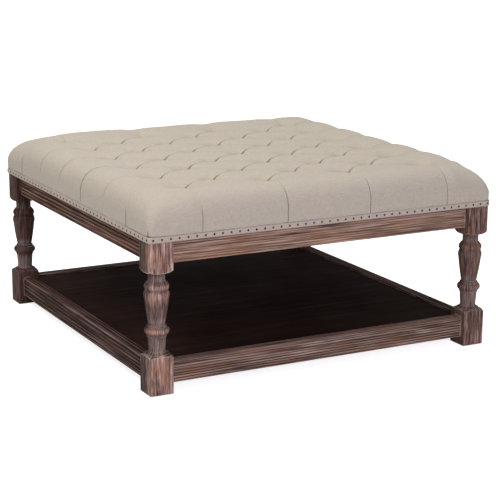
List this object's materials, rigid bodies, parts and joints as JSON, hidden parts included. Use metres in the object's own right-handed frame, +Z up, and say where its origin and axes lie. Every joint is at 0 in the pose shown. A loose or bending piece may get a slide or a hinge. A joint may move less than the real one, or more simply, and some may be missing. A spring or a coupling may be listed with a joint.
{
  "type": "ottoman coffee table",
  "caption": "Square ottoman coffee table with a diamond tufted cushion top, a nailed trim band, turned legs and a framed lower shelf.",
  "frame": {"origin": "middle of the footprint on the floor, under the glides", "axes": "+Z up, +X to the right and +Y to the back for someone who faces the front"},
  "size_m": [1.014, 1.013, 0.5023],
  "materials": {
    "brushed_oak": "wire brushed oak with grey-white wax in its grain",
    "plain_wood": "planed, unfinished",
    "dark_panel": "dark stained veneer, satin",
    "plywood": "raw plywood",
    "linen": "plain woven linen",
    "trim_linen": "plain woven linen tape",
    "foam": "open cell foam",
    "dark_nails": "dark bronze, satin",
    "twine": "waxed twine",
    "dust_cloth": "spunbond cloth",
    "glide_plastic": "moulded plastic",
    "zinc_steel": "zinc plated"
  },
  "bodies": {
    "root": {"apron_back": "brushed_oak", "apron_dowels": "plain_wood", "apron_front": "brushed_oak", "apron_left": "brushed_oak", "apron_right": "brushed_oak", "batten_dowels": "plain_wood", "cleat_back": "plain_wood", "cleat_front": "plain_wood", "cleat_left": "plain_wood", "cleat_right": "plain_wood", "cleat_screws": "zinc_steel", "corner_block_back_left": "plain_wood", "corner_block_back_right": "plain_wood", "corner_block_front_left": "plain_wood", "corner_block_front_right": "plain_wood", "corner_bolts": "zinc_steel", "corner_nuts": "zinc_steel", "corner_washers": "zinc_steel", "deck_batten_left": "plain_wood", "deck_batten_right": "plain_wood", "deck_panel": "plywood", "deck_screws": "zinc_steel", "dust_cover": "dust_cloth", "dust_cover_tacks": "zinc_steel", "foam_core": "foam", "glides": "glide_plastic", "leg_back_left": "brushed_oak", "leg_back_right": "brushed_oak", "leg_front_left": "brushed_oak", "leg_front_right": "brushed_oak", "nails_back": "dark_nails", "nails_front": "dark_nails", "nails_left": "dark_nails", "nails_right": "dark_nails", "panel_screws": "zinc_steel", "rail_back": "brushed_oak", "rail_dowels": "plain_wood", "rail_front": "brushed_oak", "rail_left": "brushed_oak", "rail_right": "brushed_oak", "shelf_bearer": "plain_wood", "shelf_panel": "dark_panel", "trim_band": "trim_linen", "tuft_twines": "twine", "tuft_washers": "zinc_steel", "tufted_cover": "linen"}
  },
  "joints": []
}
